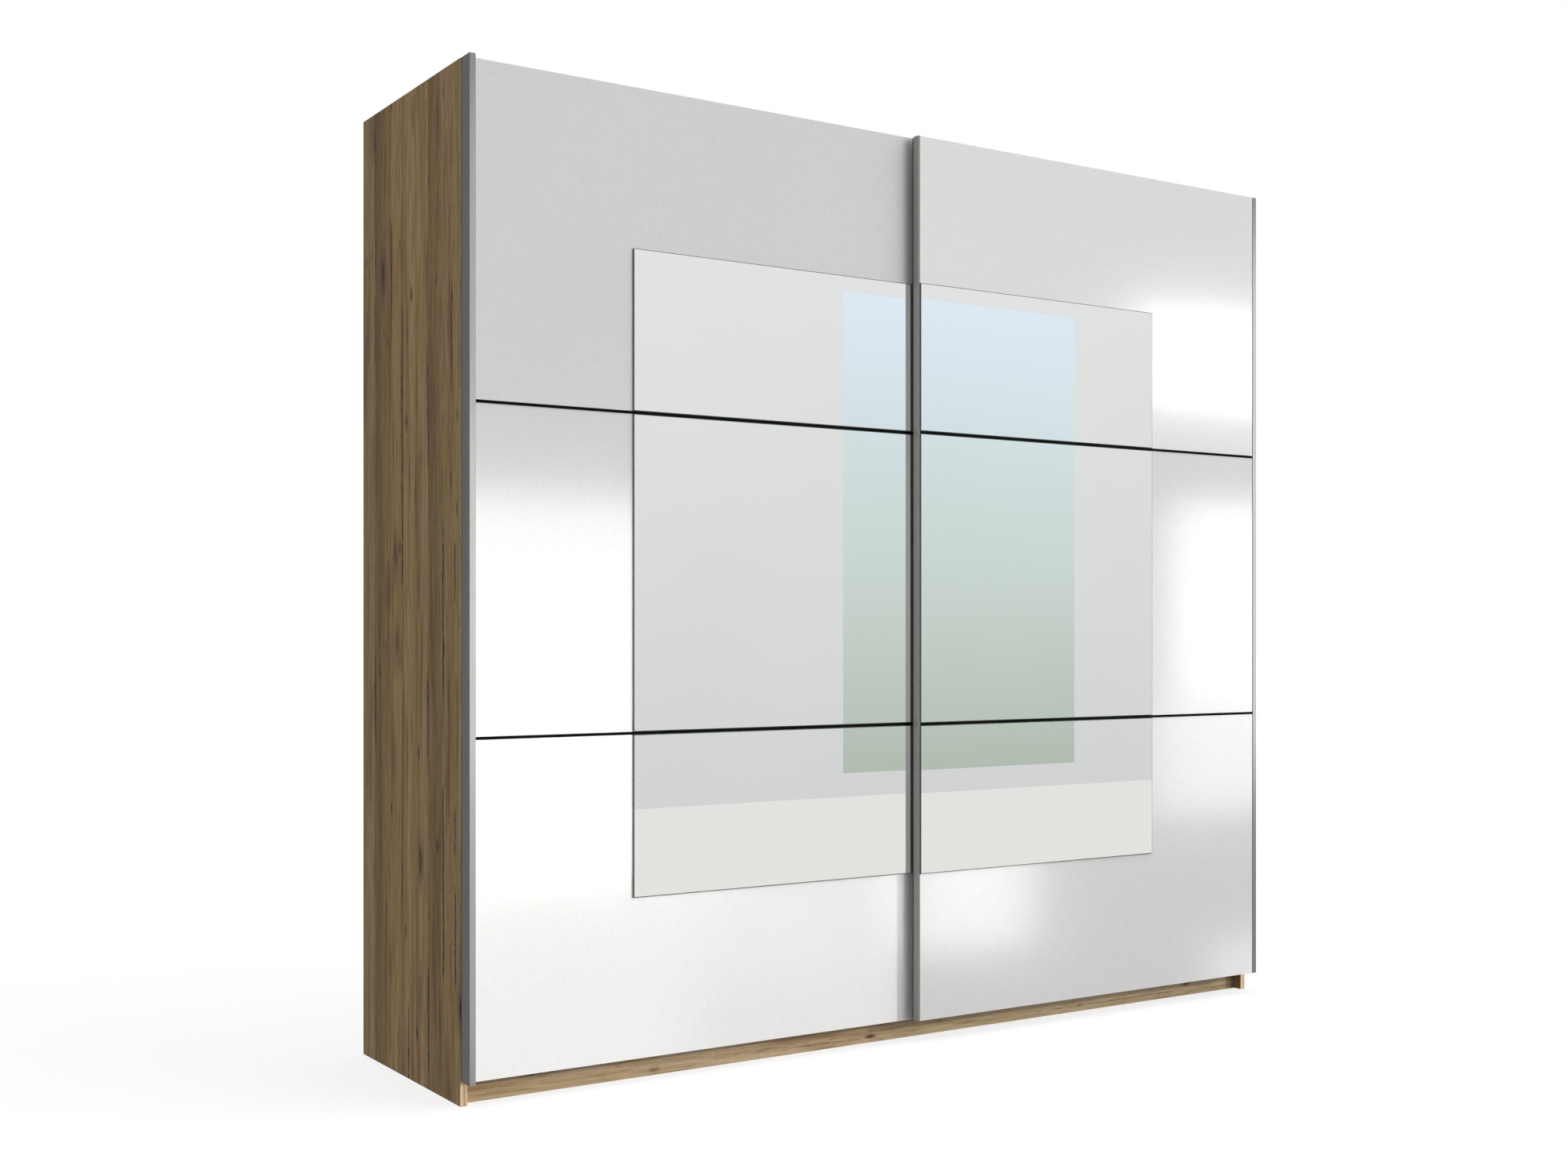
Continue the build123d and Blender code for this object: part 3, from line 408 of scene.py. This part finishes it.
finishLooks = {
    "satin_aluminium": {"colour": (0.255, 0.252, 0.243), "metal": 0.06, "roughness": 0.34,
                        "marks": (700, 700, 5), "wear": 0.07, "relief": 0.08},
    "drawn_aluminium": {"colour": (0.60, 0.60, 0.61), "metal": 1.0, "roughness": 0.3, "marks": (4, 600, 600),
                        "wear": 0.06, "relief": 0.06},
    "zinc_plated_steel": {"colour": (0.58, 0.59, 0.61), "metal": 1.0, "roughness": 0.34,
                          "marks": (90, 90, 90), "wear": 0.14, "relief": 0.05},
    "chromed_steel": {"colour": (0.78, 0.79, 0.80), "metal": 1.0, "roughness": 0.08, "marks": (25, 25, 25),
                      "wear": 0.02, "relief": 0.01},
    "black_strip_plastic": {"colour": (0.0025, 0.0025, 0.0025), "metal": 0.0, "roughness": 0.6, "sheen": 0.08,
                            "marks": (5, 800, 800), "wear": 0.25, "relief": 0.1},
    "soft_black_rubber": {"colour": (0.018, 0.018, 0.018), "metal": 0.0, "roughness": 0.7,
                          "marks": (500, 500, 500), "wear": 0.25, "relief": 0.25},
    "grey_nylon": {"colour": (0.11, 0.115, 0.12), "metal": 0.0, "roughness": 0.42, "marks": (700, 700, 700),
                   "wear": 0.12, "relief": 0.12},
    "white_nylon": {"colour": (0.70, 0.70, 0.67), "metal": 0.0, "roughness": 0.36, "marks": (700, 700, 700),
                    "wear": 0.05, "relief": 0.12},
    "beech_dowel": {"colour": (0.55, 0.38, 0.20), "metal": 0.0, "roughness": 0.6, "marks": (12, 420, 420),
                    "wear": 0.2, "relief": 0.3},
    "pale_hardboard": {"colour": (0.60, 0.53, 0.42), "metal": 0.0, "roughness": 0.7, "marks": (190, 190, 190),
                       "wear": 0.13, "relief": 0.3},
}
finishes = {name: drawnMaterial(name, look) for name, look in finishLooks.items()}
finishOf = {
    "left_back_sheet": "pale_hardboard", "right_back_sheet": "pale_hardboard",
    "left_closing_strip": "satin_aluminium", "right_closing_strip": "satin_aluminium",
    "running_track": "drawn_aluminium", "bottom_guide_rail": "drawn_aluminium",
    "track_end_stops": "soft_black_rubber",
    "clothes_rail": "chromed_steel", "clothes_rail_holders": "chromed_steel",
    "shelf_pins": "zinc_plated_steel", "cam_locks": "zinc_plated_steel", "cam_bolts": "zinc_plated_steel",
    "dowels": "beech_dowel", "long_screws": "zinc_plated_steel", "back_nails": "zinc_plated_steel",
    "carcass_screws": "zinc_plated_steel",
}
for side in ("left", "right"):
    for part, finish in (("joint_strips", "black_strip_plastic"), ("meeting_profile", "satin_aluminium"),
                         ("back_bar", "satin_aluminium"), ("hangers", "zinc_plated_steel"),
                         ("axles", "zinc_plated_steel"), ("screws", "zinc_plated_steel"),
                         ("guides", "grey_nylon"), ("outer_wheel", "white_nylon"),
                         ("meeting_wheel", "white_nylon")):
        finishOf[side + "_door_" + part] = finish
for node, finish in finishOf.items():
    giveMaterial(node, finishes[finish])
print("hardware finished:", len(finishOf))


# every board has softly broken edges

edgeLook = {"width": 0.0006, "rounds": 2, "sharperThan": 50}
boardNodes = list(oakLook["boards"]) + [side + "_door_" + level + "_board" for side in ("left", "right")
                                        for level in ("bottom", "middle", "top")]
for node in boardNodes:
    weld = nodes[node].modifiers.new("joinedCorners", "WELD")
    weld.merge_threshold = 0.00001
    bevel = nodes[node].modifiers.new("brokenEdges", "BEVEL")
    bevel.width = edgeLook["width"]
    bevel.segments = edgeLook["rounds"]
    bevel.limit_method = "ANGLE"
    bevel.angle_limit = math.radians(edgeLook["sharperThan"])
    bevel.use_clamp_overlap = False
    bevel.harden_normals = True
print("edges softened:", len(boardNodes))


# mirrors: silvered plates with a narrow ground edge all round

mirrorLook = {
    "edgeWidth": 0.0016,
    "edgeDrop": 0.0007,
    "silver": ((0.885, 0.900, 0.898), (0.905, 0.915, 0.912)),
    "groundGlass": ((0.10, 0.13, 0.12), (0.17, 0.21, 0.20)),
}


def silverMaterial():
    material, tree, shader = newMaterial("silvered_glass")
    haze = noiseOf(tree, objectPlace(tree), 2, 2)
    low, high = mirrorLook["silver"]
    plug(tree, rampOf(tree, haze, ((0.3, low), (0.7, high))), shader.inputs["Base Color"])
    shader.inputs["Metallic"].default_value = 1.0
    shader.inputs["Roughness"].default_value = 0.0
    return material


def groundGlassMaterial():
    material, tree, shader = newMaterial("ground_glass_edge")
    grind = noiseOf(tree, objectPlace(tree), 300, 3)
    low, high = mirrorLook["groundGlass"]
    plug(tree, rampOf(tree, grind, ((0.3, low), (0.7, high))), shader.inputs["Base Color"])
    plug(tree, levels(tree, grind, (0.3, 0.2), (0.7, 0.35)), shader.inputs["Roughness"])
    return material


silvered = silverMaterial()
groundGlass = groundGlassMaterial()


def mirrorPlate(node, body):
    low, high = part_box(node)
    work = bmesh.new()
    rings = []
    for y, inset in ((high[1], 0), (low[1] + mirrorLook["edgeDrop"], 0), (low[1], mirrorLook["edgeWidth"])):
        x0, x1, z0, z1 = low[0] + inset, high[0] - inset, low[2] + inset, high[2] - inset
        corners = ((x0, y, z0), (x1, y, z0), (x1, y, z1), (x0, y, z1))
        rings.append([work.verts.new(corner) for corner in corners])
    for outer, inner in zip(rings, rings[1:]):
        for i in range(4):
            j = (i + 1) % 4
            work.faces.new((outer[i], outer[j], inner[j], inner[i])).material_index = 1
    work.faces.new(rings[0]).material_index = 1
    work.faces.new(rings[-1]).material_index = 0
    bmesh.ops.recalc_face_normals(work, faces=work.faces)
    meshData = bpy.data.meshes.new(node + "_plate")
    work.to_mesh(meshData)
    work.free()
    meshData.materials.append(silvered)
    meshData.materials.append(groundGlass)
    plate = bpy.data.objects.new(node + "_plate", meshData)
    scene.collection.objects.link(plate)
    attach(plate, body)
    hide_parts(node)


for side in ("left", "right"):
    for level in ("bottom", "middle", "top"):
        mirrorPlate(side + "_door_mirror_" + level, side + "_door")
print("mirrors finished")


# pale floor that keeps only a faint contact shadow

floorLook = {"reach": 60.0, "colour": (0.28, 0.28, 0.279), "glow": 0.77, "roughness": 0.8}


def floorMaterial():
    material, tree, shader = newMaterial("studio_floor")
    faint = noiseOf(tree, objectPlace(tree), 1.5, 3)
    base = floorLook["colour"]
    darker = [0.98 * part for part in base]
    plug(tree, rampOf(tree, faint, ((0.3, darker), (0.7, base))), shader.inputs["Base Color"])
    shader.inputs["Roughness"].default_value = floorLook["roughness"]
    shader.inputs["Specular IOR Level"].default_value = 0.0
    shader.inputs["Emission Color"].default_value = (1, 1, 1, 1)
    shader.inputs["Emission Strength"].default_value = floorLook["glow"]
    return material


def sheetObject(name, corners, material):
    meshData = bpy.data.meshes.new(name)
    meshData.from_pydata(corners, [], [tuple(range(len(corners)))])
    meshData.materials.append(material)
    sheet = bpy.data.objects.new(name, meshData)
    scene.collection.objects.link(sheet)
    return sheet


reach = floorLook["reach"]
floorCorners = [(-reach, -reach, 0), (reach, -reach, 0), (reach, reach, 0), (-reach, reach, 0)]
floor = sheetObject("studioFloor", floorCorners, floorMaterial())
floor.visible_diffuse = False      # the shaded side stays dark
floor.visible_glossy = False
print("floor laid")


# suns: a broad one from the front right, one from above, a crisp one for the foot, and two small fills

sunLooks = {
    "softKey": {"strength": 3.22, "from": (0.78, -0.56, 0.30), "softness": 72.0},
    "topLight": {"strength": 1.6, "from": (0.0, 0.12, 1.0), "softness": 60.0},
    "crispKey": {"strength": 1.25, "from": (0.80, -0.557, 0.234), "softness": 1.2,
                 "shinesOn": ("plinth_board", "left_side_panel", "right_side_panel",
                              "left_door_bottom_board")},
    "topBoardFill": {"strength": 0.20, "from": (0.2, -1.0, 0.3), "softness": 20.0,
                     "shinesOn": ("right_door_top_board",)},
    "profileFill": {"strength": 1.05, "from": (-1.0, -0.12, 0.1), "softness": 20.0,
                    "shinesOn": ("right_door_meeting_profile",)},
}


def receiverGroup(name, members):
    group = bpy.data.collections.new(name)
    for member in members:
        group.objects.link(nodes[member])
    return group


for name, look in sunLooks.items():
    data = bpy.data.lights.new(name, "SUN")
    data.energy = look["strength"]
    data.angle = math.radians(look["softness"])
    sun = bpy.data.objects.new(name, data)
    sun.rotation_euler = Vector(look["from"]).to_track_quat("Z", "Y").to_euler()
    sun.visible_glossy = False
    if "shinesOn" in look:
        sun.light_linking.receiver_collection = receiverGroup(name + "_receivers", look["shinesOn"])
    scene.collection.objects.link(sun)
print("suns placed:", len(sunLooks))


# world: white behind the object, dimmer as light and in reflections

worldLook = {"seen": 1.0, "ambient": 0.155, "reflected": 0.5}

world = bpy.data.worlds.new("studioWorld")
world.use_nodes = True
scene.world = world
worldTree = world.node_tree
sky = worldTree.nodes["Background"]
sky.inputs["Color"].default_value = (1, 1, 1, 1)
paths = worldTree.nodes.new("ShaderNodeLightPath")
ambient = worldLook["ambient"]
mirrored = worldLook["reflected"] - ambient
seen = maths(worldTree, "MULTIPLY_ADD", paths.outputs["Is Camera Ray"], worldLook["seen"] - ambient, ambient)
total = maths(worldTree, "MULTIPLY_ADD", paths.outputs["Is Glossy Ray"], mirrored, seen)
worldTree.links.new(total, sky.inputs["Strength"])
print("world set")


# plain studio that shows only in reflections: a wall, a pale ground and a soft window

studioLook = {
    "sides": (-16, 18),
    "wallPlace": -5.8,
    "wallTones": ((0.0, 0.72), (0.35, 0.78), (1.0, 0.87)),
    "wallHeight": 4.0,
    "groundTones": ((0.0, (0.86, 0.84, 0.81)), (1.0, (0.86, 0.84, 0.81))),
    "groundFrom": -2.4,
    "groundLift": 0.002,
    "windowSides": (3.6, 5.4),
    "windowHeights": (0.15, 3.05),
    "windowTones": ((0.0, (0.50, 0.56, 0.49)), (0.45, (0.66, 0.74, 0.70)), (1.0, (0.80, 0.90, 1.0))),
}


def glowMaterial(name, tones, bottom, top, strength):
    # tone changes with height, from bottom to top
    material = bpy.data.materials.new(name)
    material.use_nodes = True
    tree = material.node_tree
    tree.nodes.remove(tree.nodes["Principled BSDF"])
    height = addNode(tree, "ShaderNodeMapRange")
    plug(tree, splitVector(tree, objectPlace(tree))["Z"], height.inputs["Value"])
    height.inputs["From Min"].default_value = bottom
    height.inputs["From Max"].default_value = top
    glow = addNode(tree, "ShaderNodeEmission")
    plug(tree, rampOf(tree, height.outputs[0], tones), glow.inputs["Color"])
    glow.inputs["Strength"].default_value = strength
    tree.links.new(glow.outputs[0], tree.nodes["Material Output"].inputs["Surface"])
    return material


def reflectionSheet(name, corners, material):
    sheet = sheetObject(name, corners, material)
    sheet.visible_camera = False
    sheet.visible_diffuse = False
    sheet.visible_shadow = False
    sheet.visible_transmission = False
    sheet.visible_volume_scatter = False


def uprightSheet(name, x0, x1, y, z0, z1, material):
    reflectionSheet(name, [(x0, y, z0), (x1, y, z0), (x1, y, z1), (x0, y, z1)], material)


leftEnd, rightEnd = studioLook["sides"]
wallPlace = studioLook["wallPlace"]
wallHeight = studioLook["wallHeight"]
wallTones = [(spot, grey(tone)) for spot, tone in studioLook["wallTones"]]
uprightSheet("studioWall", leftEnd, rightEnd, wallPlace, 0, wallHeight,
             glowMaterial("studio_wall", wallTones, 0, wallHeight, 1.0))
groundFrom = studioLook["groundFrom"]
groundLift = studioLook["groundLift"]
groundCorners = [(leftEnd, wallPlace, groundLift), (rightEnd, wallPlace, groundLift),
                 (rightEnd, groundFrom, groundLift), (leftEnd, groundFrom, groundLift)]
reflectionSheet("studioGround", groundCorners,
                glowMaterial("studio_ground", studioLook["groundTones"], 0, 1, 1.0))
windowHeights = studioLook["windowHeights"]
uprightSheet("studioWindow", *studioLook["windowSides"], wallPlace + 0.05, *windowHeights,
             glowMaterial("studio_window", studioLook["windowTones"], *windowHeights, 1.0))
print("studio finished")


# soft glows on the door fronts and strips: area lights seen only in their sheen, never in the mirrors

glowLook = {
    # name: (x from, x to, place in y, z from, z to, brightness, shines on)
    "leftGlow": (-2.6, -0.20, -0.9, 0.35, 1.34, 7.2, "boards"),
    "leftLowGlow": (-2.6, -0.26, -0.9, -1.2, 0.30, 1.7, "boards"),
    "middleGlow": (-0.26, 0.18, -0.9, 0.05, 0.5, 1.0, "boards"),
    "rightFootGlow": (0.40, 0.86, -0.9, 0.08, 0.62, 6.4, "boards"),
    "rightUpperGlow": (1.26, 2.2, -0.9, 1.70, 2.02, 8.5, "boards"),
    "rightLowerGlow": (1.43, 2.2, -0.9, 0.80, 1.41, 7.5, "boards"),
    "rightFadeGlow": (1.34, 2.2, -0.9, 0.42, 0.80, 4.6, "boards"),
    "rightCornerGlow": (1.60, 2.2, -0.9, -0.5, 0.02, 3.6, "boards"),
    "leftStripGlow": (-1.8, -0.6, -0.9, -0.1, 2.3, 2.65, "strips"),
    "leftStripMiddle": (-1.8, -0.6, -0.85, 0.62, 1.52, 3.0, "strips"),
    "rightStripGlow": (1.2, 2.4, -0.9, 0.54, 2.25, 4.7, "strips"),
}
shineOn = {
    "boards": [side + "_door_" + level + "_board" for side in ("left", "right")
               for level in ("bottom", "middle", "top")],
    "strips": ["left_closing_strip", "right_closing_strip", "left_door_meeting_profile",
               "right_door_meeting_profile"],
}
receivers = {group: receiverGroup("glow_on_" + group, members) for group, members in shineOn.items()}
for name, (x0, x1, y, z0, z1, brightness, group) in glowLook.items():
    data = bpy.data.lights.new(name, "AREA")
    data.shape = "RECTANGLE"
    data.size = x1 - x0
    data.size_y = z1 - z0
    data.energy = 4 * brightness * data.size * data.size_y
    glow = bpy.data.objects.new(name, data)
    glow.location = ((x0 + x1) / 2, y, (z0 + z1) / 2)
    glow.rotation_euler = (math.radians(90), 0, 0)
    glow.visible_camera = False
    glow.visible_diffuse = False
    glow.light_linking.receiver_collection = receivers[group]
    scene.collection.objects.link(glow)
print("glows placed:", len(glowLook))

scene.view_settings.view_transform = "Standard"
scene.view_settings.look = "None"
